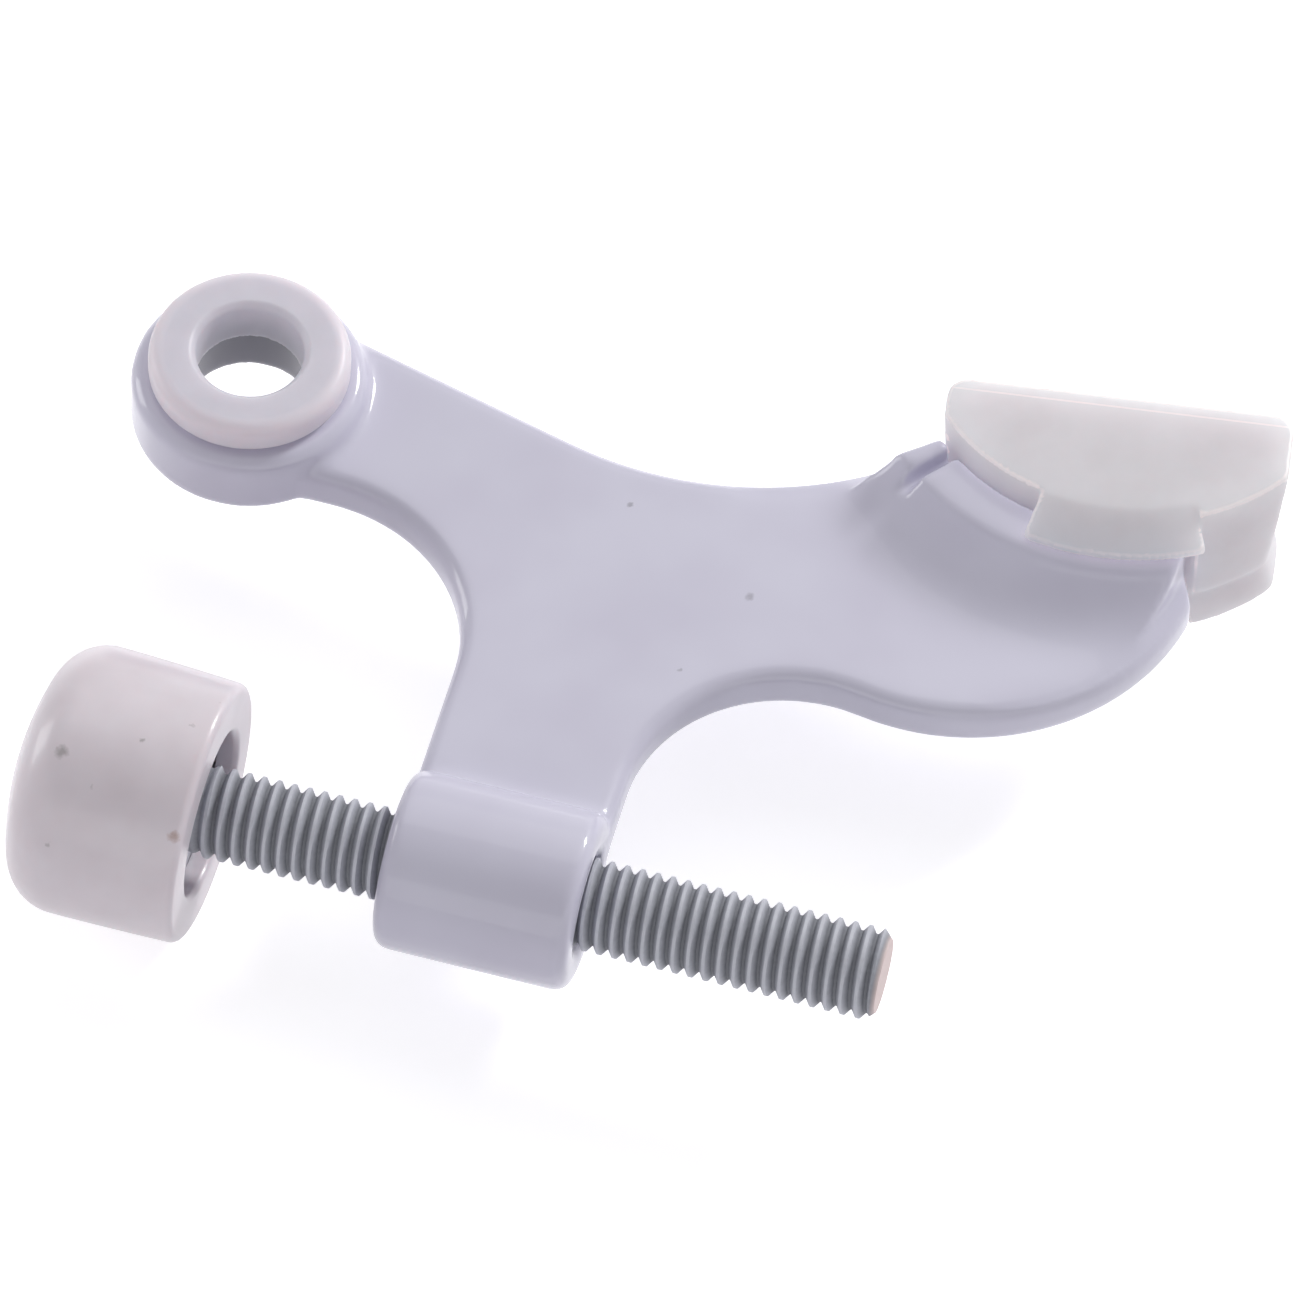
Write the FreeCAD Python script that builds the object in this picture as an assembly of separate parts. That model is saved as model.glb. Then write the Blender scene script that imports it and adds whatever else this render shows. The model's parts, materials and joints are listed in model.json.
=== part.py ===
import FreeCAD, Part
import math
import os

# Hinge pin door stop, in millimetres.
# The origin is on the hinge pin's axis, where the bushing sits on the eye. +Z is up along the pin, +X along
# the rod. The pieces are drawn about the plate's middle and moved down to that origin at the end.

# Plate: the flat web that the arm, the leg and the head share
plate_thickness = 3.6
plate_edge_radius = 1.1
plate_foot_chamfer = 0.8

# Eye and its bore
ring_diameter = 15.4
ring_rise = 1.5
ring_edge_chamfer = 0.6
ring_cove_radius = 0.7
eye_bore_diameter = 8.3

# Bushing in the eye
pin_hole_diameter = 7.0
flange_diameter = 13.2
flange_thickness = 2.4
flange_edge_radius = 0.9
flange_foot_chamfer = 0.4
pin_hole_lead_in = 0.4
spigot_length = 1.0
spigot_clearance = 0.03

# Arm: its upper edge is a straight run that turns into a wide hollow, its lower edge is straight
arm_upper_offset = 7.2
arm_lower_offset = 5.9
arm_root_radius = 4.0
hollow_radius = 24.0
hollow_y = 25.2
hollow_share = 0.499

# Leg and the two bays beside it
leg_left = 18.7
leg_width = 13.05
left_bay_radius = 11.5
right_bay_radius = 10.6

# Barrel at the foot of the leg
rod_offset = 31.8
barrel_diameter = 11.7
barrel_length = 12.9
barrel_edge_chamfer = 0.6
barrel_cove_radius = 0.8
barrel_lead_in = 0.5

# Rod and its round head
rod_diameter = 6.0
thread_play = 0.05
rod_reach = 19.4
rod_tip_chamfer = 0.6
head_diameter = 12.0
head_thickness = 3.0
head_play = 0.05

# Cap over the rod's head
cap_diameter = 17.6
cap_length = 12.8
cap_skirt_diameter = 17.2
cap_dome_radius = 20.0
cap_corner_radius = 3.4
cap_mouth_chamfer = 0.5
cap_mouth_diameter = 10.8
cap_lip = 1.4
cap_gap = 11.95

# Head: a round lobe of the plate with a curved wall on it
wall_x = 54.7
wall_y = 16.5
lobe_back = 7.5
lobe_drop = 12.9
seat_radius = 14.0
wall_thickness = 3.0
wall_rise = 3.2
wall_edge_radius = 0.7
wall_setback = 0.15
wall_cove_radius = 7.5
wall_end_angle = 20.0
wall_end_land = 1.5
wall_far_angle = 56.0
head_turn = 8.2
notch_angle = 48.0
notch_width = 0.8
notch_depth = 1.5

# Pad in the curve of the wall
pad_width = 22.6
pad_rise = 7.25
pad_drop = 5.6
pad_end = 3.05
pad_corner_radius = 1.4
pad_waist = 0.75
pad_waist_height = 2.9
pad_clearance = 0.06
shoulder_step = 1.1
shoulder_angle = 23.2
tongue_angle = 18.5
tongue_reach = 2.7
tongue_root = 1.0
tongue_lip = 0.7
lip_reach = 1.4
lip_thickness = 1.5

plate_top = plate_thickness / 2
plate_bottom = -plate_thickness / 2
ring_radius = ring_diameter / 2
ring_top = plate_top + ring_rise
eye_bore_radius = eye_bore_diameter / 2
leg_right = leg_left + leg_width
leg_middle = leg_left + leg_width / 2
barrel_radius = barrel_diameter / 2
barrel_left = leg_middle - barrel_length / 2
barrel_right = leg_middle + barrel_length / 2
rod_radius = rod_diameter / 2
rod_y = -rod_offset
rim_top = plate_top + wall_rise
lobe_x = wall_x - lobe_back
lobe_y = wall_y - lobe_drop
hollow_x = wall_x * hollow_share
wall_radius = seat_radius + wall_thickness
cap_mouth = barrel_left - cap_gap
pad_axis = math.radians(head_turn - 90)
wall_end = pad_axis + math.radians(wall_end_angle)
wall_ledge = plate_edge_radius + wall_setback
land_x = wall_x + (seat_radius + wall_end_land) * math.cos(wall_end)
land_y = wall_y + (seat_radius + wall_end_land) * math.sin(wall_end)
lobe_radius = math.hypot(land_x - lobe_x, land_y - lobe_y) + wall_ledge
pin_hole_radius = pin_hole_diameter / 2
flange_top = ring_top + flange_thickness
spigot_bottom = ring_top - spigot_length
cap_end = cap_mouth - cap_length
pocket_front = cap_mouth - cap_lip
pocket_back = pocket_front - head_thickness - 2 * head_play
head_radius = head_diameter / 2
rod_head_face = pocket_front - head_play
rod_end = barrel_right + rod_reach
pad_seat = seat_radius - pad_clearance
pad_setback = math.sqrt(pad_seat ** 2 - pad_width ** 2 / 4) - pad_end
tolerance = 1e-4


def vector(x, y, z=0.0):
    return FreeCAD.Vector(x, y, z)


def line(start, end):
    return Part.makeLine(vector(*start), vector(*end))


def arc_about(centre, radius, first, last):
    """An arc about a plan point, through the middle of the two angles (radians)."""
    middle = (first + last) / 2
    points = []
    for angle in (first, middle, last):
        points.append(vector(centre[0] + radius * math.cos(angle), centre[1] + radius * math.sin(angle)))
    return Part.Arc(*points).toShape()


def angle_to(centre, point):
    return math.atan2(point[1] - centre[1], point[0] - centre[0])


def face_of(edges):
    return Part.Face(Part.Wire(Part.__sortEdges__(edges)))


def revolve_profile(edges, origin, axis, start=0.0, sweep=360.0):
    """Turns a closed profile about an axis, beginning at an angle from the plane it was drawn in."""
    solid = face_of(edges).revolve(origin, axis, sweep)
    solid.rotate(origin, axis, start)
    return solid


def polar(centre, radius, angle):
    return (centre[0] + radius * math.cos(angle), centre[1] + radius * math.sin(angle))


def plate_outline():
    """The plate from above: the edges that stay open, and the ones that the other features close."""
    hollow = (hollow_x, hollow_y)
    wall = (wall_x, wall_y)
    lobe = (lobe_x, lobe_y)

    # the arm's upper edge is the common tangent that passes between the eye and the hollow
    span = math.hypot(hollow_x, hollow_y)
    lean = math.atan2(hollow_y, hollow_x) + math.acos((arm_upper_offset + hollow_radius) / span)
    arm_start = (arm_upper_offset * math.cos(lean), arm_upper_offset * math.sin(lean))
    hollow_start = polar(hollow, hollow_radius, lean + math.pi)

    # the hollow runs on into the seat, which is cut later; the wall's free end runs straight out to the lobe
    hollow_last = angle_to(hollow, wall)
    out = (math.cos(wall_end), math.sin(wall_end))
    rel = (wall_x - lobe_x, wall_y - lobe_y)
    half = rel[0] * out[0] + rel[1] * out[1]
    reach = -half + math.sqrt(half ** 2 - rel[0] ** 2 - rel[1] ** 2 + lobe_radius ** 2)
    lobe_start = polar(wall, reach, wall_end)

    bay_x = leg_right + right_bay_radius
    touch = lobe_radius + right_bay_radius
    bay = (bay_x, lobe_y - math.sqrt(touch ** 2 - (bay_x - lobe_x) ** 2))
    to_bay = angle_to(lobe, bay)

    left_bay = (leg_left - left_bay_radius, -arm_lower_offset - left_bay_radius)
    root_y = -arm_lower_offset - arm_root_radius
    root_x = math.sqrt((arm_upper_offset + arm_root_radius) ** 2 - root_y ** 2)
    root = (root_x, root_y)
    to_eye = angle_to(root, (0, 0))
    arm_end = polar(root, arm_root_radius, to_eye)

    open_edges = [
        line(arm_start, hollow_start),
        arc_about(hollow, hollow_radius, lean - math.pi, hollow_last),
        arc_about(lobe, lobe_radius, angle_to(lobe, lobe_start), to_bay),
        arc_about(bay, right_bay_radius, to_bay + math.pi, math.pi),
        line((leg_right, bay[1]), (leg_right, rod_y)),
        line((leg_left, rod_y), (leg_left, left_bay[1])),
        arc_about(left_bay, left_bay_radius, 0.0, math.pi / 2),
        line((left_bay[0], -arm_lower_offset), (root_x, -arm_lower_offset)),
        arc_about(root, arm_root_radius, math.pi / 2, to_eye),
    ]
    closed_edges = [
        line(polar(hollow, hollow_radius, hollow_last), wall),
        line(wall, lobe_start),
        line((leg_right, rod_y), (leg_left, rod_y)),
        line(arm_end, arm_start),
    ]
    return open_edges, closed_edges


def middle_of(edge):
    return edge.valueAt((edge.FirstParameter + edge.LastParameter) / 2)


def level_edges(solid, height):
    """The edges that lie flat at a height."""
    found = []
    for edge in solid.Edges:
        box = edge.BoundBox
        if box.ZLength < tolerance and abs(box.ZMin - height) < tolerance:
            found.append(edge)
    return found


def plate():
    """The flat web with its open edges rounded above and broken below, and the round seat cut into it."""
    open_edges, closed_edges = plate_outline()
    face = face_of(open_edges + closed_edges)
    face.translate(vector(0, 0, plate_bottom))
    solid = face.extrude(vector(0, 0, plate_thickness))

    def open_at(height):
        found = []
        for edge in level_edges(solid, height):
            middle = middle_of(edge)
            for open_edge in open_edges:
                target = middle_of(open_edge)
                if math.hypot(middle.x - target.x, middle.y - target.y) < tolerance:
                    found.append(edge)
        return found

    solid = solid.makeFillet(plate_edge_radius, open_at(plate_top))
    solid = solid.makeChamfer(plate_foot_chamfer, open_at(plate_bottom))
    seat_foot = vector(wall_x, wall_y, -plate_thickness)
    return solid.cut(Part.makeCylinder(seat_radius, 2 * plate_thickness, seat_foot))


def head_wall():
    """The curved wall of the head with its cove, set back from the plate's edge, its rim rounded."""
    turn = math.acos(1 - wall_rise / wall_cove_radius)
    foot = wall_radius + wall_cove_radius * math.sin(turn)
    cove_in = foot - wall_cove_radius * math.sin(turn / 2)
    cove_up = plate_top + wall_cove_radius * (1 - math.cos(turn / 2))

    def at(radius, height):
        return vector(wall_x + radius, wall_y, height)

    edges = [
        Part.makeLine(at(seat_radius, 0), at(foot, 0)),
        Part.makeLine(at(foot, 0), at(foot, plate_top)),
        Part.Arc(at(foot, plate_top), at(cove_in, cove_up), at(wall_radius, rim_top)).toShape(),
        Part.makeLine(at(wall_radius, rim_top), at(seat_radius, rim_top)),
        Part.makeLine(at(seat_radius, rim_top), at(seat_radius, 0)),
    ]
    far_end = wall_far_angle + wall_end_angle
    start = math.degrees(pad_axis) - wall_far_angle
    solid = revolve_profile(edges, vector(wall_x, wall_y), vector(0, 0, 1), start, far_end)
    depth = -rim_top / 2
    lobe = Part.makeCylinder(lobe_radius - wall_ledge, 2 * rim_top, vector(lobe_x, lobe_y, depth))
    hollow = Part.makeCylinder(hollow_radius + wall_ledge, 2 * rim_top, vector(hollow_x, hollow_y, depth))
    solid = solid.common(lobe).cut(hollow)

    rounded = []
    for edge in level_edges(solid, rim_top):
        middle = middle_of(edge)
        if math.hypot(middle.x - wall_x, middle.y - wall_y) > seat_radius + tolerance:
            rounded.append(edge)
    return solid.makeFillet(wall_edge_radius, rounded)


def rim_notch():
    """A narrow radial slot across the rim near its left end."""
    slot = Part.makeBox(3 * wall_thickness, notch_width, 2 * notch_depth)
    slot.translate(vector(seat_radius - wall_thickness, -notch_width / 2, rim_top - notch_depth))
    slot.rotate(vector(0, 0, 0), vector(0, 0, 1), math.degrees(pad_axis) - notch_angle)
    slot.translate(vector(wall_x, wall_y))
    return slot


def eye_arm():
    """The plate and the ring of the eye, with a hollow round the ring's foot where it stands on the arm."""
    ring = Part.makeCylinder(ring_radius, ring_top - plate_bottom, vector(0, 0, plate_bottom))
    ring = ring.makeChamfer(ring_edge_chamfer, level_edges(ring, plate_bottom) + level_edges(ring, ring_top))
    solid = plate().fuse(ring).removeSplitter()
    foot = []
    for edge in level_edges(solid, plate_top):
        middle = middle_of(edge)
        if abs(math.hypot(middle.x, middle.y) - ring_radius) < tolerance:
            foot.append(edge)
    return solid.makeFillet(ring_cove_radius, foot)


def level_ends(solid):
    """The round edges at the two ends of a piece that lies along X."""
    return [edge for edge in solid.Edges if edge.BoundBox.XLength < tolerance]


def barrel():
    solid = Part.makeCylinder(barrel_radius, barrel_length, vector(barrel_left, rod_y), vector(1, 0, 0))
    return solid.makeChamfer(barrel_edge_chamfer, level_ends(solid))


def barrel_cove():
    """The hollow that leads from the leg's two faces onto the round of the barrel."""
    centre_z = plate_top + barrel_cove_radius
    reach = barrel_radius + barrel_cove_radius
    centre_y = math.sqrt(reach ** 2 - centre_z ** 2)
    share = barrel_radius / reach
    lean = (math.atan2(-centre_z, -centre_y) - math.pi / 2) / 2
    start = leg_left + plate_edge_radius

    def at(along, height):
        return vector(start, rod_y + along, height)

    middle_y = centre_y + barrel_cove_radius * math.cos(lean)
    middle_z = centre_z + barrel_cove_radius * math.sin(lean)
    edges = [Part.makeLine(at(centre_y, plate_top), at(centre_y, plate_bottom))]
    for side in (1, -1):
        on_barrel = at(share * centre_y, side * share * centre_z)
        on_plate = at(centre_y, side * plate_top)
        edges.append(Part.Arc(on_plate, at(middle_y, side * middle_z), on_barrel).toShape())
        edges.append(Part.makeLine(on_barrel, at(0, 0)))
    return face_of(edges).extrude(vector(leg_width - 2 * plate_edge_radius, 0, 0))


def barrel_bore():
    """The threaded hole's core with a lead-in at each end."""
    radius = rod_radius + thread_play
    start = vector(leg_middle - leg_width, rod_y)
    solid = Part.makeCylinder(radius, 2 * leg_width, start, vector(1, 0, 0))
    for end, inward in ((barrel_left, 1), (barrel_right, -1)):
        mouth = vector(end, rod_y)
        cone = Part.makeCone(radius + barrel_lead_in, radius, barrel_lead_in, mouth, vector(inward, 0, 0))
        solid = solid.fuse(cone)
    return solid


def stop_body():
    solid = eye_arm().fuse(head_wall()).fuse(barrel()).fuse(barrel_cove()).removeSplitter()
    eye_bore = Part.makeCylinder(eye_bore_radius, 4 * ring_top, vector(0, 0, -2 * ring_top))
    return solid.cut(eye_bore).cut(barrel_bore()).cut(rim_notch())


def pin_bushing():
    """A flanged bush: the flange lies on the eye, the short spigot centres it in the eye's bore."""
    solid = Part.makeCylinder(flange_diameter / 2, flange_thickness, vector(0, 0, ring_top))
    solid = solid.makeChamfer(flange_foot_chamfer, level_edges(solid, ring_top))
    solid = solid.makeFillet(flange_edge_radius, level_edges(solid, flange_top))
    spigot_radius = eye_bore_radius - spigot_clearance
    spigot_height = spigot_length + flange_thickness / 2
    spigot = Part.makeCylinder(spigot_radius, spigot_height, vector(0, 0, spigot_bottom))
    solid = solid.fuse(spigot)
    below = vector(0, 0, spigot_bottom - flange_top / 2)
    pin_hole = Part.makeCylinder(pin_hole_radius, 2 * flange_top, below)
    mouth = vector(0, 0, flange_top)
    wide = pin_hole_radius + pin_hole_lead_in
    lead_in = Part.makeCone(wide, pin_hole_radius, pin_hole_lead_in, mouth, vector(0, 0, -1))
    return solid.cut(pin_hole).cut(lead_in)


def on_rod(x, radius):
    return vector(x, rod_y, radius)


def turned(edges):
    return revolve_profile(edges, vector(0, rod_y), vector(1, 0, 0))


def joined(points):
    """Straight edges through the points and back to the first one."""
    edges = []
    for start, end in zip(points, points[1:] + points[:1]):
        edges.append(Part.makeLine(start, end))
    return edges


def threaded_rod():
    """The rod at its thread's outer diameter, with the round head that the cap is pushed over."""
    tip_radius = rod_radius - rod_tip_chamfer
    shank = turned(joined([
        on_rod(rod_head_face - head_thickness / 2, 0),
        on_rod(rod_head_face - head_thickness / 2, rod_radius),
        on_rod(rod_end - rod_tip_chamfer, rod_radius),
        on_rod(rod_end, tip_radius),
        on_rod(rod_end, 0),
    ]))
    head_back = on_rod(rod_head_face - head_thickness, 0)
    head = Part.makeCylinder(head_radius, head_thickness, head_back, vector(1, 0, 0))
    return head.fuse(shank).removeSplitter()


def bumper_cap():
    """A soft cap with a slightly domed end, and a lip that holds the rod's head in its pocket."""
    radius = cap_diameter / 2
    skirt = cap_skirt_diameter / 2
    dome_x = cap_end + cap_dome_radius
    corner_r = radius - cap_corner_radius
    between = cap_dome_radius - cap_corner_radius
    corner_x = dome_x - math.sqrt(between ** 2 - corner_r ** 2)
    tilt = math.asin(corner_r / between)

    def on_dome(angle):
        return on_rod(dome_x - cap_dome_radius * math.cos(angle), cap_dome_radius * math.sin(angle))

    def on_corner(angle):
        back = cap_corner_radius * math.cos(angle)
        out = cap_corner_radius * math.sin(angle)
        return on_rod(corner_x - back, corner_r + out)

    inside = [
        on_corner(math.pi / 2),
        on_rod(cap_mouth - cap_mouth_chamfer, skirt),
        on_rod(cap_mouth, skirt - cap_mouth_chamfer),
        on_rod(cap_mouth, cap_mouth_diameter / 2),
        on_rod(pocket_front, cap_mouth_diameter / 2),
        on_rod(pocket_front, head_radius + head_play),
        on_rod(pocket_back, head_radius + head_play),
        on_rod(pocket_back, 0),
        on_rod(cap_end, 0),
    ]
    edges = [
        Part.Arc(on_dome(0), on_dome(tilt / 2), on_dome(tilt)).toShape(),
        Part.Arc(on_corner(tilt), on_corner((tilt + math.pi / 2) / 2), on_corner(math.pi / 2)).toShape(),
    ]
    for start, end in zip(inside, inside[1:]):
        edges.append(Part.makeLine(start, end))
    return turned(edges)


def pad_section(height, side_inset, back_inset):
    """The pad's outline at a height, drawn with its flat face square to +Y and the wall's centre at 0, 0."""
    half = pad_width / 2 - side_inset
    back = pad_seat - back_inset
    shoulder = back + shoulder_step
    corner = pad_corner_radius
    flat = -pad_setback
    axis = -math.pi / 2
    step = axis + math.radians(shoulder_angle)
    right = axis + math.asin(half / shoulder)
    left = axis - math.asin(half / back)
    right_corner = (half - corner, flat - corner)
    left_corner = (corner - half, flat - corner)
    edges = [
        line((corner - half, flat), (half - corner, flat)),
        arc_about(right_corner, corner, math.pi / 2, 0.0),
        line((half, flat - corner), polar((0, 0), shoulder, right)),
        arc_about((0, 0), shoulder, right, step),
        line(polar((0, 0), shoulder, step), polar((0, 0), back, step)),
        arc_about((0, 0), back, step, left),
        line(polar((0, 0), back, left), (-half, flat - corner)),
        arc_about(left_corner, corner, math.pi, math.pi / 2),
    ]
    wire = Part.Wire(edges)
    wire.translate(vector(0, 0, height))
    return wire


def with_true_planes(solid):
    """The same solid with its faces square to +Y made plane, which a loft leaves as splines."""
    faces = []
    for face in solid.Faces:
        if face.BoundBox.YLength < tolerance:
            corners = [vertex.Point for vertex in face.OuterWire.OrderedVertexes]
            face = Part.Face(Part.makePolygon(corners + corners[:1]))
        faces.append(face)
    skin = Part.makeCompound(faces)
    skin.sewShape()
    return Part.Solid(skin.Shells[0])


def pad_lip(points, first, last):
    """A lip of the pad, turned about the wall's centre between two angles from the pad's middle."""
    corners = [vector(radius, 0, height) for radius, height in points]
    return revolve_profile(joined(corners), vector(0, 0), vector(0, 0, 1), first - 90, last - first)


def stop_pad():
    """The soft pad: a D-shaped block with a waist, a tongue over the rim and a lip under the plate."""
    over = rim_top + pad_clearance
    under = plate_bottom - pad_clearance
    waist = pad_waist_height - pad_drop
    seated_share = (pad_rise - under) / (pad_rise - waist)
    sections = [
        pad_section(pad_rise, 0.0, 0.0),
        pad_section(under, pad_waist * seated_share, 0.0),
        pad_section(waist, pad_waist, pad_waist),
        pad_section(-pad_drop, 0.0, 0.0),
    ]
    solid = with_true_planes(Part.makeLoft(sections, True, True))

    root = seat_radius - tongue_root
    reach = seat_radius + tongue_reach
    tongue = pad_lip([
        (root, over),
        (reach, over),
        (reach, over + tongue_lip),
        (seat_radius, pad_rise),
        (root, pad_rise),
    ], -tongue_angle, shoulder_angle)
    lip = pad_lip([
        (root, under),
        (seat_radius + lip_reach, under),
        (seat_radius + lip_reach, under - lip_thickness),
        (root, under - 2 * lip_thickness),
    ], -tongue_angle, tongue_angle)
    solid = solid.fuse(tongue).fuse(lip).removeSplitter()
    solid.rotate(vector(0, 0, 0), vector(0, 0, 1), head_turn)
    solid.translate(vector(wall_x, wall_y))
    return solid


def main():
    os.makedirs("parts", exist_ok=True)
    pieces = {
        "stop_body": stop_body(),
        "pin_bushing": pin_bushing(),
        "threaded_rod": threaded_rod(),
        "bumper_cap": bumper_cap(),
        "stop_pad": stop_pad(),
    }
    for name, shape in pieces.items():
        shape.translate(vector(0, 0, -ring_top))
        print(name, shape.isValid(), len(shape.Solids), round(shape.Volume, 2))
        shape.exportStep("parts/" + name + ".step")


main()
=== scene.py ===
import bmesh
import bpy
import json
import math
from mathutils import Matrix, Vector


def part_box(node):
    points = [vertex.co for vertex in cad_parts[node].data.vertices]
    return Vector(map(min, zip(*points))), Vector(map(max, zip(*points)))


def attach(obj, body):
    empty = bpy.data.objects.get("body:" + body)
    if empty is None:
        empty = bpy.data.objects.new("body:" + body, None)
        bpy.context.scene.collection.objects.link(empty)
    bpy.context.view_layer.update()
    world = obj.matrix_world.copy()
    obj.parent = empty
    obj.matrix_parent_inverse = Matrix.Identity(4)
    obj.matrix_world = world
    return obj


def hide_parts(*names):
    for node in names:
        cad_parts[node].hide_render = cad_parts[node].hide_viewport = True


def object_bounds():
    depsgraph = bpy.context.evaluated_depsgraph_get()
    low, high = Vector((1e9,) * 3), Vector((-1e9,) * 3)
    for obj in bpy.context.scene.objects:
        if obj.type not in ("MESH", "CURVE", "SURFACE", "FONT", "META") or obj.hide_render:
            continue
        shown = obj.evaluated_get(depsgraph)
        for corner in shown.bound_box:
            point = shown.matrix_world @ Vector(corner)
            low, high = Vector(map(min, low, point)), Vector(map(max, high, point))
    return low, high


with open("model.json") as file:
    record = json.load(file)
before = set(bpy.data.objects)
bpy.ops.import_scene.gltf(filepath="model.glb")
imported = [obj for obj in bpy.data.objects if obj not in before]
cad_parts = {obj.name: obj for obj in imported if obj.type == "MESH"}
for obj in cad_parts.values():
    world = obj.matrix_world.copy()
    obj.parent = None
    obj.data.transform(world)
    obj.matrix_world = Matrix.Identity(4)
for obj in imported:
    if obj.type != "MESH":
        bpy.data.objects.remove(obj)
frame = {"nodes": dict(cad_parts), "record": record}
cadBox = [list(corner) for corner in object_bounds()]
nodes = frame["nodes"]
mm = 0.001
print("frame loaded:", ", ".join(sorted(nodes)))


# Shared helpers

mixShare, mixBase, mixTint, mixResult = 0, 6, 7, 2  # sockets of a Mix node that blends colours


def linear(hexColour):  # sRGB hex to a linear colour with alpha
    values = [int(hexColour[i:i + 2], 16) / 255 for i in (1, 3, 5)]
    return [v / 12.92 if v <= 0.04045 else ((v + 0.055) / 1.055) ** 2.4 for v in values] + [1.0]


def addNode(tree, kind, settings=None, links=None):  # one node with its settings and links
    node = tree.nodes.new(kind)
    for name, value in (settings or {}).items():
        if name == "stops":  # a colour ramp's positions and hex colours
            points = node.color_ramp.elements
            while len(points) < len(value):
                points.new(0.5)
            for point, (position, colour) in zip(points, value):
                point.position = position
                point.color = linear(colour)
        elif isinstance(name, int) or name in node.inputs:
            node.inputs[name].default_value = value
        else:
            setattr(node, name, value)
    for name, socket in (links or {}).items():
        tree.links.new(socket, node.inputs[name])
    return node


def newMaterial(name):
    material = bpy.data.materials.new(name)
    material.use_nodes = True
    material.node_tree.nodes.clear()
    return material, material.node_tree


def addClouds(tree, place, size, detail, stops):  # slow change of tone, with clouds of a size in mm
    cloud = addNode(tree, "ShaderNodeTexNoise", {
        "Scale": 1 / (size * mm), "Detail": detail,
    }, {"Vector": place})
    ramp = addNode(tree, "ShaderNodeValToRGB", {"stops": stops}, {"Fac": cloud.outputs["Fac"]})
    return ramp.outputs["Color"]


def addSpecks(tree, place, colour, specks, dirt):  # small ragged dirt marks at set places, in mm
    frayGrain, frayReach = 0.4 * mm, 0.5 * mm  # how fine the ragged edge is, and how far it wanders
    core = 0.35  # share of the radius at full strength
    ragged = addNode(tree, "ShaderNodeTexNoise", {"Scale": 1 / frayGrain, "Detail": 2.0}, {"Vector": place})
    pull = addNode(tree, "ShaderNodeVectorMath", {
        "operation": "MULTIPLY_ADD", 1: (frayReach,) * 3, 2: (-frayReach / 2,) * 3,
    }, {0: ragged.outputs["Color"]})
    frayed = addNode(tree, "ShaderNodeVectorMath", {"operation": "ADD"}, {
        0: place, 1: pull.outputs["Vector"],
    })
    for x, y, z, size, strength in specks:
        away = addNode(tree, "ShaderNodeVectorMath", {
            "operation": "DISTANCE", 1: (x * mm, y * mm, z * mm),
        }, {0: frayed.outputs["Vector"]})
        fade = addNode(tree, "ShaderNodeMapRange", {
            "From Min": size * mm * core, "From Max": size * mm, "To Min": strength, "To Max": 0.0,
        }, {"Value": away.outputs["Value"]})
        mix = addNode(tree, "ShaderNodeMix", {
            "data_type": "RGBA", mixTint: linear(dirt),
        }, {mixShare: fade.outputs["Result"], mixBase: colour})
        colour = mix.outputs[mixResult]
    return colour


def fromPin(tree, place):  # distance from the hinge pin's axis
    flat = addNode(tree, "ShaderNodeVectorMath", {"operation": "MULTIPLY", 1: (1, 1, 0)}, {0: place})
    radius = addNode(tree, "ShaderNodeVectorMath", {"operation": "LENGTH"}, {0: flat.outputs["Vector"]})
    return radius.outputs["Value"]


def objectFromMesh(name, mesh):
    piece = bpy.data.objects.new(name, mesh)
    bpy.context.scene.collection.objects.link(piece)
    return piece


def setMaterial(piece, material):
    piece.data.materials.clear()
    piece.data.materials.append(material)


def applyModifiers(piece):
    bpy.context.view_layer.update()
    shaped = bpy.data.meshes.new_from_object(piece.evaluated_get(bpy.context.evaluated_depsgraph_get()))
    piece.modifiers.clear()
    piece.vertex_groups.clear()
    piece.data = shaped


def softened(name, node, settings):  # copy of a CAD piece with its edges and inner corners rounded over
    piece = objectFromMesh(name, nodes[node].data.copy())
    remesh = piece.modifiers.new("remesh", "REMESH")
    remesh.mode = "VOXEL"
    remesh.voxel_size = settings["voxel"] * mm
    soften = piece.modifiers.new("soften", "SMOOTH")
    soften.factor = 0.5
    soften.iterations = settings["softening"]
    applyModifiers(piece)
    piece.data.name = name
    return piece


def blend(piece, rounds, weightOf):  # more smoothing, only where weightOf gives a vertex some weight
    group = piece.vertex_groups.new(name="blend")
    for vertex in piece.data.vertices:
        weight = min(max(weightOf(vertex), 0), 1)
        if weight > 0:
            group.add([vertex.index], weight, "REPLACE")
    smooth = piece.modifiers.new("blend", "SMOOTH")
    smooth.factor = 0.5
    smooth.iterations = rounds
    smooth.vertex_group = "blend"
    applyModifiers(piece)


def fitOut(piece, material, sharpAngle, body, node):  # material, shading and place in the assembly
    setMaterial(piece, material)
    piece.data.polygons.foreach_set("use_smooth", [True] * len(piece.data.polygons))
    piece.data.set_sharp_from_angle(angle=math.radians(sharpAngle))
    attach(piece, body)
    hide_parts(node)


# Casting: zinc die casting under gloss white enamel. The thick paint softens edges and gives small
# sharp highlights over a faintly violet white.

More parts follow.
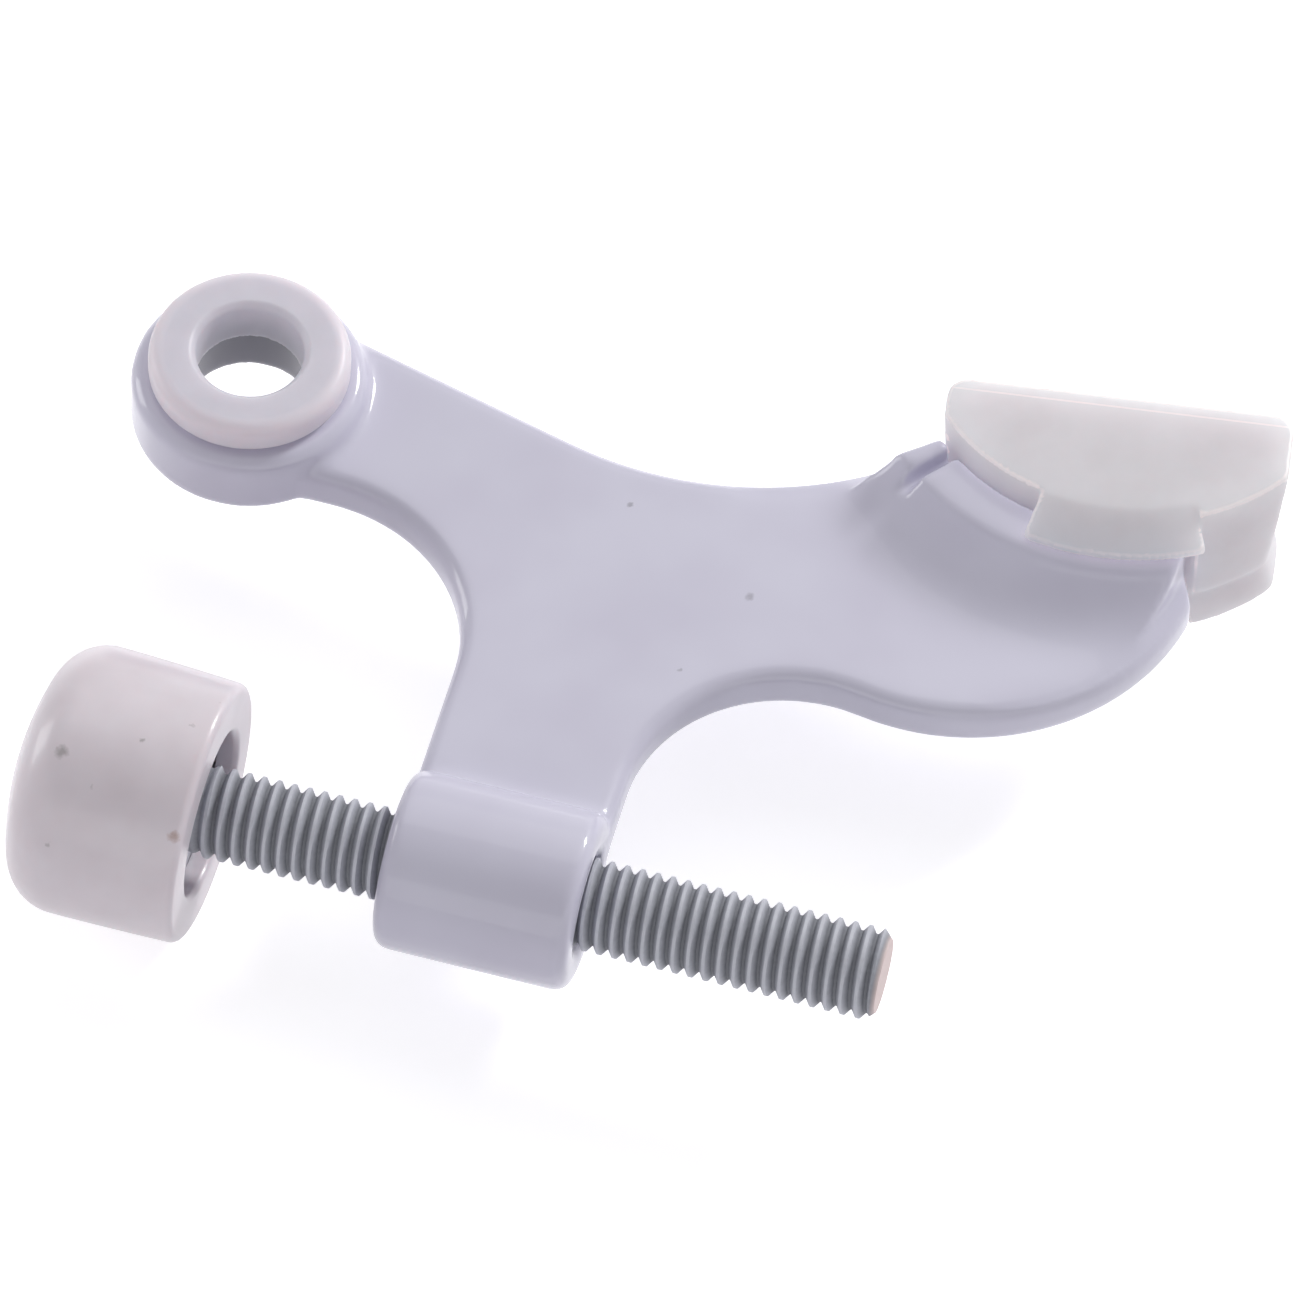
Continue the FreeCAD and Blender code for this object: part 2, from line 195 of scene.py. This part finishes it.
castingSettings = {
    "voxel": 0.22,  # mm
    "softening": 22,  # smoothing rounds that turn the edges
    "sharpAngle": 80,  # degrees, above which an edge is shaded sharp
    "paint": "#D8D6E6",
    "paintShade": "#D2CFE0",
    "dirt": "#77737C",
    "bare": "#74747E",  # thin paint over zinc, and painted shade, inside the eye's bore
    "bareAndShadeEdge": 4.4,  # mm from the pin's axis, where the thin paint and painted shade start
    "bareAndShadeFull": 4.2,
    "bareAndShadeShare": 0.9,
    "patchSize": 9.0,  # mm, slow change of tone in the paint
    "peelSize": 1.3,  # mm, orange peel of sprayed enamel
    "peelHeight": 0.05,  # mm
    "specks": [  # x, y, z, radius in mm and strength
        (26.28, -2.22, -1.5, 0.26, 0.5),
        (35.61, -7.03, -1.5, 0.38, 0.42),
        (32.78, -13.86, -1.5, 0.22, 0.4),
    ],
    "coveCentre": (54.7, 16.5),  # mm, the seat's centre
    "coveFoot": 23.1,  # mm, radius of the line where the cove meets the plate
    "coveReach": 4.5,  # mm to each side of that line
    "coveFade": 2.0,  # mm over which the blend fades out
    "coveLowest": -2.0,  # mm, the plate's sides and underside lie lower
    "coveFacing": 0.72,  # upward part of the normal where the blend starts
    "facingFade": 0.2,
    "coveRounds": 150,
}


def enamelOverZinc():
    s = castingSettings
    material, tree = newMaterial("gloss enamel on zinc casting")
    place = addNode(tree, "ShaderNodeTexCoord").outputs["Object"]
    colour = addClouds(tree, place, s["patchSize"], 2.0, [(0.35, s["paintShade"]), (0.65, s["paint"])])
    colour = addSpecks(tree, place, colour, s["specks"], s["dirt"])
    # darker towards the pin's axis: thin paint and painted shade in the eye's bore
    bore = addNode(tree, "ShaderNodeMapRange", {
        "From Min": s["bareAndShadeEdge"] * mm, "From Max": s["bareAndShadeFull"] * mm, "To Max": s["bareAndShadeShare"],
    }, {"Value": fromPin(tree, place)})
    thin = addNode(tree, "ShaderNodeMix", {
        "data_type": "RGBA", mixTint: linear(s["bare"]),
    }, {mixShare: bore.outputs["Result"], mixBase: colour})
    peel = addNode(tree, "ShaderNodeTexNoise", {
        "Scale": 1 / (s["peelSize"] * mm), "Detail": 1.0,
    }, {"Vector": place})
    bump = addNode(tree, "ShaderNodeBump", {
        "Strength": 0.05, "Distance": s["peelHeight"] * mm,
    }, {"Height": peel.outputs["Fac"]})
    shader = addNode(tree, "ShaderNodeBsdfPrincipled", {
        "Roughness": 0.32, "Specular IOR Level": 0.2, "Coat Weight": 0.6, "Coat Roughness": 0.05,
    }, {"Base Color": thin.outputs[mixResult], "Normal": bump.outputs["Normal"]})
    addNode(tree, "ShaderNodeOutputMaterial", links={"Surface": shader.outputs["BSDF"]})
    return material


def nearCoveFoot(vertex):  # 1 along the foot of the cove, 0 at the plate's edge
    s = castingSettings
    if vertex.co.z < s["coveLowest"] * mm:
        return 0
    away = abs((Vector(vertex.co[:2]) / mm - Vector(s["coveCentre"])).length - s["coveFoot"])
    facing = min((vertex.normal.z - s["coveFacing"]) / s["facingFade"], 1)
    return max(facing, 0) * min((s["coveReach"] - away) / s["coveFade"], 1)


casting = softened("enamelledCasting", "stop_body", castingSettings)
blend(casting, castingSettings["coveRounds"], nearCoveFoot)
fitOut(casting, enamelOverZinc(), castingSettings["sharpAngle"], "casting", "stop_body")
print("casting painted:", len(casting.data.polygons), "faces")


# Bushing: moulded nylon. Satin and a little cloudy; the flange's outer edge has a painted pale glow.

bushingSettings = {
    "voxel": 0.12,  # mm
    "softening": 2,  # few rounds, which keep the bore's edge crisp
    "flangeRounds": 5,  # more of them on the flange's outer edge
    "flangeInner": 4.6,  # mm from the pin's axis, where they start
    "sharpAngle": 80,  # degrees
    "nylon": "#DCD9E2",
    "nylonShade": "#D7D4DD",
    # painted glow colour for the flange's outer edge
    "edge": "#E9E1E8",
    "glowInner": 5.5,  # mm from the pin's axis, where the painted glow on the flange's edge starts
    "glowOuter": 6.3,
    "cloudSize": 2.5,  # mm
    "scatter": 2.0,  # mm that light goes into the nylon
}


def mouldedNylon():
    s = bushingSettings
    material, tree = newMaterial("moulded nylon")
    place = addNode(tree, "ShaderNodeTexCoord").outputs["Object"]
    colour = addClouds(tree, place, s["cloudSize"], 3.0, [(0.3, s["nylonShade"]), (0.7, s["nylon"])])
    # painted glow on the flange's outer edge, by distance from the pin's axis
    rimGlow = addNode(tree, "ShaderNodeMapRange", {
        "From Min": s["glowInner"] * mm, "From Max": s["glowOuter"] * mm,
    }, {"Value": fromPin(tree, place)})
    paintedGlowMix = addNode(tree, "ShaderNodeMix", {
        "data_type": "RGBA", mixTint: linear(s["edge"]),
    }, {mixShare: rimGlow.outputs["Result"], mixBase: colour})
    shader = addNode(tree, "ShaderNodeBsdfPrincipled", {
        "Roughness": 0.42, "IOR": 1.53, "Subsurface Weight": 0.8, "Subsurface Scale": s["scatter"] * mm,
        "Subsurface Radius": (1.0, 0.8, 0.8),
    }, {"Base Color": paintedGlowMix.outputs[mixResult]})
    addNode(tree, "ShaderNodeOutputMaterial", links={"Surface": shader.outputs["BSDF"]})
    return material


def nearFlangeEdge(vertex):  # 0 round the bore, 1 at the flange's outer edge
    return Vector(vertex.co[:2]).length / mm - bushingSettings["flangeInner"]


bushing = softened("nylonBushing", "pin_bushing", bushingSettings)
blend(bushing, bushingSettings["flangeRounds"], nearFlangeEdge)
fitOut(bushing, mouldedNylon(), bushingSettings["sharpAngle"], "casting", "pin_bushing")
print("bushing moulded:", len(bushing.data.polygons), "faces")


# Rod: rolled thread in steel with a dull zinc plating. Grey, with painted highlights on the crests and
# painted shade in the grooves.

rodSettings = {
    "radius": 3.0,  # mm, at the crests
    "pitch": 1.0,  # mm
    "depth": 0.46,  # mm
    "crest": 0.2,  # flat share of a pitch at the crest
    "root": 0.16,  # flat share at the root
    "spareTurns": 2,  # turns past each end, which are cut off
    "neck": 1.3,  # mm under the head in which the thread runs out
    "neckDepth": 0.45,  # share of the thread's depth
    "tipChamfer": 0.6,  # mm
    "stepsRound": 48,
    "head": 3.0,  # mm, the head's thickness
    "headRound": 0.35,  # mm
    "headSteps": 96,
    "sharpAngle": 40,  # degrees
    # painted highlight on the crests, plating colour on the flanks, painted shade in the grooves
    "crestHighlight": "#C2C4CC",
    "platingDark": "#A2A4AC",
    "grooveShade": "#787A80",
    "grainSize": 0.35,  # mm, coarser than the real plating's, so that it shows
    "grainHeight": 0.03,  # mm
    "grainShare": 0.3,  # change of tone from grain to grain
    "bareEnd": "#DCCBC9",  # cut end without plating
    "bareDepth": 0.3,  # mm
}


def threadRadius(share, outer):  # share is the place within one pitch, 0 at the crest's start
    s = rodSettings
    slope = (1 - s["crest"] - s["root"]) / 2
    if share < s["crest"]:
        return outer
    if share < s["crest"] + slope:
        return outer - s["depth"] * mm * (share - s["crest"]) / slope
    if share < 1 - slope:
        return outer - s["depth"] * mm
    return outer - s["depth"] * mm * (1 - share) / slope


def makeThread(start, end, axisY, axisZ):  # helical strip round the axis, cut square and closed at both ends
    s = rodSettings
    outer, pitch = s["radius"] * mm, s["pitch"] * mm
    neck = outer - s["depth"] * mm * s["neckDepth"]
    slope = (1 - s["crest"] - s["root"]) / 2
    marks = [  # places along one pitch: the crest, the slope down, the root and the slope up
        0, s["crest"] / 2,
        s["crest"], s["crest"] + slope / 2,
        s["crest"] + slope, 1 - slope - s["root"] / 2,
        1 - slope, 1 - slope / 2,
    ]
    count = len(marks)
    turns = int((end - start) / pitch) + 2 * s["spareTurns"]
    bm = bmesh.new()
    rings = []
    for i in range(turns * count + 1):
        mark = marks[i % count]
        along = (i // count - s["spareTurns"] + mark) * pitch + start
        ring = []
        for k in range(s["stepsRound"] + 1):
            angle = 2 * math.pi * k / s["stepsRound"]
            x = along + pitch * k / s["stepsRound"]
            runOut = min(max((x - start) / (s["neck"] * mm), 0), 1) ** 3
            radius = neck + (threadRadius(mark, outer) - neck) * runOut
            radius = min(radius, outer - s["tipChamfer"] * mm + max(end - x, 0))
            ring.append(bm.verts.new((x, axisY + radius * math.cos(angle), axisZ + radius * math.sin(angle))))
        rings.append(ring)
    for a, b in zip(rings, rings[1:]):
        for k in range(s["stepsRound"]):
            bm.faces.new((a[k], b[k], b[k + 1], a[k + 1]))
    bmesh.ops.remove_doubles(bm, verts=bm.verts, dist=0.0005 * mm)  # each turn joins the next
    for x, side in ((start, -1), (end, 1)):
        everything = bm.verts[:] + bm.edges[:] + bm.faces[:]
        cut = bmesh.ops.bisect_plane(
            bm, geom=everything, plane_co=(x, 0, 0), plane_no=(side, 0, 0), clear_outer=True)
        edges = [e for e in cut["geom_cut"] if isinstance(e, bmesh.types.BMEdge)]
        bmesh.ops.edgeloop_fill(bm, edges=edges)
    bmesh.ops.recalc_face_normals(bm, faces=bm.faces)
    mesh = bpy.data.meshes.new("rodThread")
    bm.to_mesh(mesh)
    bm.free()
    return objectFromMesh("rodThread", mesh)


def makeHead(start, radius, axisY, axisZ):  # round head inside the cap
    s = rodSettings
    thick = s["head"] * mm
    middle = Matrix.Translation((start + thick / 2, axisY, axisZ))
    bm = bmesh.new()
    bmesh.ops.create_cone(
        bm, cap_ends=True, segments=s["headSteps"], radius1=radius, radius2=radius, depth=thick,
        matrix=middle @ Matrix.Rotation(math.pi / 2, 4, "Y"))
    rims = [e for e in bm.edges if abs(e.verts[0].co.x - e.verts[1].co.x) < 1e-7]
    bmesh.ops.bevel(bm, geom=rims, offset=s["headRound"] * mm, segments=4, profile=0.5, affect="EDGES")
    mesh = bpy.data.meshes.new("rodHead")
    bm.to_mesh(mesh)
    bm.free()
    return objectFromMesh("rodHead", mesh)


def platedSteel(end, axisY, axisZ):
    s = rodSettings
    material, tree = newMaterial("zinc plated rolled steel")
    place = addNode(tree, "ShaderNodeTexCoord").outputs["Object"]
    parts = addNode(tree, "ShaderNodeSeparateXYZ", links={"Vector": place})
    flat = addNode(tree, "ShaderNodeCombineXYZ", links={"Y": parts.outputs["Y"], "Z": parts.outputs["Z"]})
    radius = addNode(tree, "ShaderNodeVectorMath", {
        "operation": "DISTANCE", 1: (0.0, axisY, axisZ),
    }, {0: flat.outputs["Vector"]})
    height = addNode(tree, "ShaderNodeMapRange", {
        "From Min": (s["radius"] - s["depth"]) * mm, "From Max": s["radius"] * mm,
    }, {"Value": radius.outputs["Value"]})
    grain = addNode(tree, "ShaderNodeTexNoise", {
        "Scale": 1 / (s["grainSize"] * mm), "Detail": 4.0,
    }, {"Vector": place})
    tone = addNode(tree, "ShaderNodeMath", {
        "operation": "MULTIPLY_ADD", 1: s["grainShare"], 2: -s["grainShare"] / 2,
    }, {0: grain.outputs["Fac"]})
    level = addNode(tree, "ShaderNodeMath", {
        "operation": "ADD", "use_clamp": True,
    }, {0: height.outputs["Result"], 1: tone.outputs["Value"]})
    # painted shade in the grooves and painted highlight on the crests, by distance from the axis
    colour = addNode(tree, "ShaderNodeValToRGB", {
        "stops": [(0.0, s["grooveShade"]), (0.5, s["platingDark"]), (1.0, s["crestHighlight"])],
    }, {"Fac": level.outputs["Value"]})
    cut = addNode(tree, "ShaderNodeMapRange", {
        "From Min": end - s["bareDepth"] * mm, "From Max": end,
    }, {"Value": parts.outputs["X"]})
    bare = addNode(tree, "ShaderNodeMix", {
        "data_type": "RGBA", mixTint: linear(s["bareEnd"]),
    }, {mixShare: cut.outputs["Result"], mixBase: colour.outputs["Color"]})
    rough = addNode(tree, "ShaderNodeMapRange", {  # the crests are rubbed smoother
        "To Min": 0.7, "To Max": 0.52,
    }, {"Value": level.outputs["Value"]})
    bump = addNode(tree, "ShaderNodeBump", {
        "Strength": 0.25, "Distance": s["grainHeight"] * mm,
    }, {"Height": grain.outputs["Fac"]})
    shader = addNode(tree, "ShaderNodeBsdfPrincipled", {"Metallic": 0.15}, {
        "Base Color": bare.outputs[mixResult], "Roughness": rough.outputs["Result"],
        "Normal": bump.outputs["Normal"],
    })
    addNode(tree, "ShaderNodeOutputMaterial", links={"Surface": shader.outputs["BSDF"]})
    return material


rodLow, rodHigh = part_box("threaded_rod")
rodAxis = ((rodLow.y + rodHigh.y) / 2, (rodLow.z + rodHigh.z) / 2)
rodThread = makeThread(rodLow.x + rodSettings["head"] * mm, rodHigh.x, *rodAxis)
rodHead = makeHead(rodLow.x, (rodHigh.z - rodLow.z) / 2, *rodAxis)
steel = platedSteel(rodHigh.x, *rodAxis)
for piece in (rodThread, rodHead):
    fitOut(piece, steel, rodSettings["sharpAngle"], "rod", "threaded_rod")
print("rod threaded:", len(rodThread.data.polygons), "faces")


# Cap: moulded white rubber, slightly soiled. Satin and milky, with a soft pink in the shade.

capSettings = {
    "dome": 20.0,  # mm, radius of the closed end
    "corner": 3.4,  # mm
    "skirt": 8.6,  # mm, outer radius at the mouth
    "flare": 1.5,  # power of the skirt's curve
    "mouthRound": 0.6,  # mm
    "mouth": 5.4,  # mm, inner radius
    "innerRound": 0.45,  # mm
    "lip": 1.4,  # mm, thickness of the wall that holds the rod's head
    "pocket": 6.3,  # mm, radius round the head
    "pocketDepth": 3.3,  # mm
    "askew": -1.9,  # degrees, as the soft cap sits on its screw
    "steps": {"dome": 10, "corner": 14, "skirt": 8, "mouth": 8, "inner": 6},
    "stepsRound": 128,
    "sharpAngle": 50,  # degrees
    "rubber": "#E8E0E6",
    "rubberShade": "#E0D6DC",
    "cloudSize": 5.0,  # mm
    "scatter": 1.0,  # mm that light goes into the rubber
    "dirt": "#6A6660",
    "specks": [  # x, y, z, radius in mm and strength
        (-2.19, -35.3, 4.6, 0.5, 0.5),
        (-1.8, -39.48, 0.42, 0.3, 0.6),
        (5.24, -31.43, 5.42, 0.22, 0.5),
        (2.53, -33.46, 5.22, 0.2, 0.45),
        (0.22, -36.76, 3.73, 0.22, 0.4),
        (6.5, -28.91, 5.0, 0.25, 0.5),
    ],
    "brown": "#9A6A52",
    "brownSpot": [(6.02, -38.09, 2.52, 0.5, 0.6)],
}


def capProfile(end, mouthX, radius):  # x and radius in mm, from the closed end round to the pocket
    s, steps = capSettings, capSettings["steps"]
    cornerR = radius - s["corner"]
    between = s["dome"] - s["corner"]
    cornerX = end + s["dome"] - math.sqrt(between ** 2 - cornerR ** 2)
    tilt = math.asin(cornerR / between)  # where the dome runs into the corner
    skirtX = mouthX - s["mouthRound"]
    profile = []
    for i in range(1, steps["dome"] + 1):
        angle = tilt * i / steps["dome"]
        profile.append((end + s["dome"] * (1 - math.cos(angle)), s["dome"] * math.sin(angle)))
    for i in range(1, steps["corner"] + 1):
        angle = tilt + (math.pi / 2 - tilt) * i / steps["corner"]
        profile.append((cornerX - s["corner"] * math.cos(angle), cornerR + s["corner"] * math.sin(angle)))
    for i in range(1, steps["skirt"] + 1):
        share = i / steps["skirt"]
        flared = radius + (s["skirt"] - radius) * share ** s["flare"]
        profile.append((cornerX + (skirtX - cornerX) * share, flared))
    for i in range(1, steps["mouth"] + 1):
        angle = math.pi / 2 * i / steps["mouth"]
        turned = s["skirt"] - s["mouthRound"] * (1 - math.cos(angle))
        profile.append((skirtX + s["mouthRound"] * math.sin(angle), turned))
    for i in range(steps["inner"] + 1):
        angle = math.pi / 2 * i / steps["inner"]
        turned = s["mouth"] + s["innerRound"] * (1 - math.sin(angle))
        profile.append((mouthX - s["innerRound"] * (1 - math.cos(angle)), turned))
    lipX = mouthX - s["lip"]
    profile += [(lipX, s["mouth"]), (lipX, s["pocket"]), (lipX - s["pocketDepth"], s["pocket"])]
    return profile


def makeCap():
    s = capSettings
    low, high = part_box("bumper_cap")
    axisY, axisZ = (low.y + high.y) / 2, (low.z + high.z) / 2
    profile = capProfile(low.x / mm, high.x / mm, (high.z - low.z) / 2 / mm)
    bm = bmesh.new()
    pole = bm.verts.new((low.x, axisY, axisZ))
    rings = []
    for x, r in profile:
        ring = []
        for k in range(s["stepsRound"]):
            angle = 2 * math.pi * k / s["stepsRound"]
            y, z = axisY + r * mm * math.cos(angle), axisZ + r * mm * math.sin(angle)
            ring.append(bm.verts.new((x * mm, y, z)))
        rings.append(ring)
    pocketFloor = bm.verts.new((profile[-1][0] * mm, axisY, axisZ))
    for k in range(s["stepsRound"]):
        after = (k + 1) % s["stepsRound"]
        bm.faces.new((pole, rings[0][after], rings[0][k]))
        for a, b in zip(rings, rings[1:]):
            bm.faces.new((a[k], a[after], b[after], b[k]))
        bm.faces.new((pocketFloor, rings[-1][k], rings[-1][after]))
    bmesh.ops.recalc_face_normals(bm, faces=bm.faces)
    middle = Vector(((low.x + high.x) / 2, axisY, axisZ))
    turn = Matrix.Rotation(math.radians(s["askew"]), 3, "Z")
    bmesh.ops.rotate(bm, verts=bm.verts, cent=middle, matrix=turn)
    mesh = bpy.data.meshes.new("rubberCap")
    bm.to_mesh(mesh)
    bm.free()
    return objectFromMesh("rubberCap", mesh)


def mouldedRubber():
    s = capSettings
    material, tree = newMaterial("moulded white rubber")
    place = addNode(tree, "ShaderNodeTexCoord").outputs["Object"]
    colour = addClouds(tree, place, s["cloudSize"], 3.0, [(0.3, s["rubberShade"]), (0.7, s["rubber"])])
    colour = addSpecks(tree, place, colour, s["specks"], s["dirt"])
    colour = addSpecks(tree, place, colour, s["brownSpot"], s["brown"])
    shader = addNode(tree, "ShaderNodeBsdfPrincipled", {
        "Roughness": 0.38, "IOR": 1.5, "Subsurface Weight": 0.3, "Subsurface Scale": s["scatter"] * mm,
        "Subsurface Radius": (1.0, 0.7, 0.7), "Coat Weight": 0.35, "Coat Roughness": 0.12,
    }, {"Base Color": colour})
    addNode(tree, "ShaderNodeOutputMaterial", links={"Surface": shader.outputs["BSDF"]})
    return material


cap = makeCap()
fitOut(cap, mouldedRubber(), capSettings["sharpAngle"], "cap", "bumper_cap")
print("cap moulded:", len(cap.data.polygons), "faces")


# Pad: soft cloudy vinyl. Light passes a little way in; thin edges get a painted faint pink glow, and the
# mould's parting line a painted highlight.

padSettings = {
    "voxel": 0.17,  # mm
    "softening": 12,  # smoothing rounds that turn the edges
    "sharpAngle": 80,  # degrees
    "waistTop": -2.5,  # mm, where the side starts to draw in
    "waistFade": 2.0,  # mm
    "waistRounds": 90,
    "vinyl": "#DFDDE0",
    "vinylShade": "#D9D6D9",
    "cloudSize": 4.0,  # mm
    "scatter": 6.0,  # mm that light goes into the vinyl
    # painted glow colour for thin edges, also used for the painted highlight on the parting line
    "edge": "#FFF0EF",
    "edgeStart": 0.515,  # pointiness where the painted edge glow starts, 0.5 on a flat face
    "edgeFull": 0.53,
    "linePlace": 0.9,  # mm behind the contact face, the mould's parting line, which gets a painted highlight
    "lineHalf": 0.07,  # mm, half the line's width
    "lineHighlightShare": 0.5,
    "letThrough": 0.85,  # share of the light that passes the pad
}


def cloudyVinyl():
    s = padSettings
    face = next(mount for mount in frame["record"]["mounts"] if mount["name"] == "pad_face")
    reach = Vector(face["axis"]).dot(Vector(face["pos_m"]))  # the contact face's distance from the origin
    material, tree = newMaterial("cloudy moulded vinyl")
    place = addNode(tree, "ShaderNodeTexCoord").outputs["Object"]
    colour = addClouds(tree, place, s["cloudSize"], 3.0, [(0.3, s["vinylShade"]), (0.7, s["vinyl"])])
    # painted glow where the edges are thin and sharp
    thin = addNode(tree, "ShaderNodeMapRange", {
        "From Min": s["edgeStart"], "From Max": s["edgeFull"],
    }, {"Value": addNode(tree, "ShaderNodeNewGeometry").outputs["Pointiness"]})
    paintedGlowMix = addNode(tree, "ShaderNodeMix", {
        "data_type": "RGBA", mixTint: linear(s["edge"]),
    }, {mixShare: thin.outputs["Result"], mixBase: colour})
    depth = addNode(tree, "ShaderNodeVectorMath", {"operation": "DOT_PRODUCT", 1: face["axis"]}, {0: place})
    onLine = addNode(tree, "ShaderNodeMath", {
        "operation": "COMPARE", 1: reach - s["linePlace"] * mm, 2: s["lineHalf"] * mm,
    }, {0: depth.outputs["Value"]})
    weak = addNode(tree, "ShaderNodeMath", {
        "operation": "MULTIPLY", 1: s["lineHighlightShare"],
    }, {0: onLine.outputs["Value"]})
    # painted highlight along the mould's parting line
    lineHighlight = addNode(tree, "ShaderNodeMix", {
        "data_type": "RGBA", mixTint: linear(s["edge"]),
    }, {mixShare: weak.outputs["Value"], mixBase: paintedGlowMix.outputs[mixResult]})
    shader = addNode(tree, "ShaderNodeBsdfPrincipled", {
        "Roughness": 0.4, "IOR": 1.5, "Subsurface Weight": 0.95, "Subsurface Scale": s["scatter"] * mm,
        "Subsurface Radius": (1.0, 0.86, 0.86),
    }, {"Base Color": lineHighlight.outputs[mixResult]})
    share = addNode(tree, "ShaderNodeMath", {
        "operation": "MULTIPLY", 1: s["letThrough"],
    }, {0: addNode(tree, "ShaderNodeLightPath").outputs["Is Shadow Ray"]})
    through = addNode(tree, "ShaderNodeBsdfTransparent")
    mix = addNode(tree, "ShaderNodeMixShader", links={
        0: share.outputs["Value"], 1: shader.outputs["BSDF"], 2: through.outputs["BSDF"],
    })
    addNode(tree, "ShaderNodeOutputMaterial", links={"Surface": mix.outputs["Shader"]})
    return material


def nearWaist(vertex):  # 1 on the lower half of the sides, 0 on the upper edges
    s = padSettings
    return (s["waistTop"] + s["waistFade"] / 2 - vertex.co.z / mm) / s["waistFade"]


pad = softened("vinylPad", "stop_pad", padSettings)
blend(pad, padSettings["waistRounds"], nearWaist)
fitOut(pad, cloudyVinyl(), padSettings["sharpAngle"], "casting", "stop_pad")
print("pad moulded:", len(pad.data.polygons), "faces")


# Stage: pale floor, soft studio light and a camera at the photo's angle

stageSettings = {
    "azimuth": 12.31,  # degrees
    "elevation": 55.0,
    "roll": 3.5,
    "distance": 900.0,  # mm from the point that the picture's middle shows
    "aim": (29.0, -5.93, -11.69),  # mm
    "lens": 382.6,
    "sensor": 36.0,
    "floorHalf": 3.0,  # m
    "floorGap": 0.2,  # mm under the part
    "floorColour": "#F4F3F6",
    "floorGlow": 0.62,  # only for rays that see the floor, so it lights nothing
    "roomColour": "#F2F1F6",
    "roomStrength": 0.3,
    "white": "#FFFFFF",
    "lampAim": (28.0, -12.0, 0.0),  # mm
    "lamps": {  # place from the aim and size in m, then watts
        "overheadBox": ((-0.05, 0.42, 0.6), (0.8, 0.6), 1.1),
        "keyBox": ((0.34, 0.5, 0.36), (0.16, 0.16), 2.7),
        "leftBox": ((-0.6, 0.08, 0.14), (0.2, 0.3), 0.8),
        "frontBox": ((0.1, -0.65, 0.2), (1.5, 0.36), 1.5),
    },
}


def makeCamera():
    s = stageSettings
    a, e, roll = (math.radians(s[k]) for k in ("azimuth", "elevation", "roll"))
    back = Vector((math.sin(a) * math.cos(e), -math.cos(a) * math.cos(e), math.sin(e)))
    level = Vector((math.cos(a), math.sin(a), 0))
    upright = back.cross(level)
    right = level * math.cos(roll) + upright * math.sin(roll)
    up = upright * math.cos(roll) - level * math.sin(roll)
    data = bpy.data.cameras.new("camera")
    data.lens = s["lens"]
    data.sensor_width = s["sensor"]
    data.clip_start = 0.05
    data.clip_end = 20
    camera = bpy.data.objects.new("camera", data)
    bpy.context.scene.collection.objects.link(camera)
    turn = Matrix((right, up, back)).transposed().to_4x4()
    camera.matrix_world = Matrix.Translation(Vector(s["aim"]) * mm + back * s["distance"] * mm) @ turn
    bpy.context.scene.camera = camera


def seenDirectly(tree):  # 1 for rays from the camera, from a gloss and through clear material
    path = addNode(tree, "ShaderNodeLightPath").outputs
    mirror = addNode(tree, "ShaderNodeMath", {"operation": "MAXIMUM"}, {
        0: path["Is Camera Ray"], 1: path["Is Glossy Ray"],
    })
    seen = addNode(tree, "ShaderNodeMath", {"operation": "MAXIMUM"}, {
        0: mirror.outputs["Value"], 1: path["Is Transmission Ray"],
    })
    return seen.outputs["Value"]


def makeFloor():
    s = stageSettings
    half, height = s["floorHalf"], cadBox[0][2] - s["floorGap"] * mm
    corners = [(x * half, y * half, height) for x, y in ((-1, -1), (1, -1), (1, 1), (-1, 1))]
    mesh = bpy.data.meshes.new("floor")
    mesh.from_pydata(corners, [], [(0, 1, 2, 3)])
    floor = objectFromMesh("floor", mesh)
    material, tree = newMaterial("pale studio floor")
    lit = addNode(tree, "ShaderNodeBsdfDiffuse", {"Color": linear(s["floorColour"])})
    glow = addNode(tree, "ShaderNodeEmission", {"Color": linear(s["white"]), "Strength": s["floorGlow"]})
    both = addNode(tree, "ShaderNodeAddShader", links={0: lit.outputs["BSDF"], 1: glow.outputs["Emission"]})
    mix = addNode(tree, "ShaderNodeMixShader", links={
        0: seenDirectly(tree), 1: lit.outputs["BSDF"], 2: both.outputs["Shader"],
    })
    addNode(tree, "ShaderNodeOutputMaterial", links={"Surface": mix.outputs["Shader"]})
    setMaterial(floor, material)


def makeWorld():
    s = stageSettings
    world = bpy.data.worlds.new("studio")
    bpy.context.scene.world = world
    world.use_nodes = True
    tree = world.node_tree
    tree.nodes.clear()
    room = addNode(tree, "ShaderNodeBackground", {
        "Color": linear(s["roomColour"]), "Strength": s["roomStrength"],
    })
    white = addNode(tree, "ShaderNodeBackground", {"Color": linear(s["white"]), "Strength": 1.0})
    mix = addNode(tree, "ShaderNodeMixShader", links={
        0: seenDirectly(tree), 1: room.outputs["Background"], 2: white.outputs["Background"],
    })
    addNode(tree, "ShaderNodeOutputWorld", links={"Surface": mix.outputs["Shader"]})


def addLight(name, place, size, power):  # a soft box aimed at the part
    data = bpy.data.lights.new(name, "AREA")
    data.shape = "RECTANGLE"
    data.size, data.size_y = size
    data.energy = power
    light = bpy.data.objects.new(name, data)
    bpy.context.scene.collection.objects.link(light)
    light.location = Vector(stageSettings["lampAim"]) * mm + Vector(place)
    light.rotation_mode = "QUATERNION"
    light.rotation_quaternion = (-Vector(place)).to_track_quat("-Z", "Y")


bpy.context.scene.view_settings.view_transform = "Standard"
makeCamera()
makeFloor()
makeWorld()
for name, (place, size, power) in stageSettings["lamps"].items():
    addLight(name, place, size, power)
print("stage set")
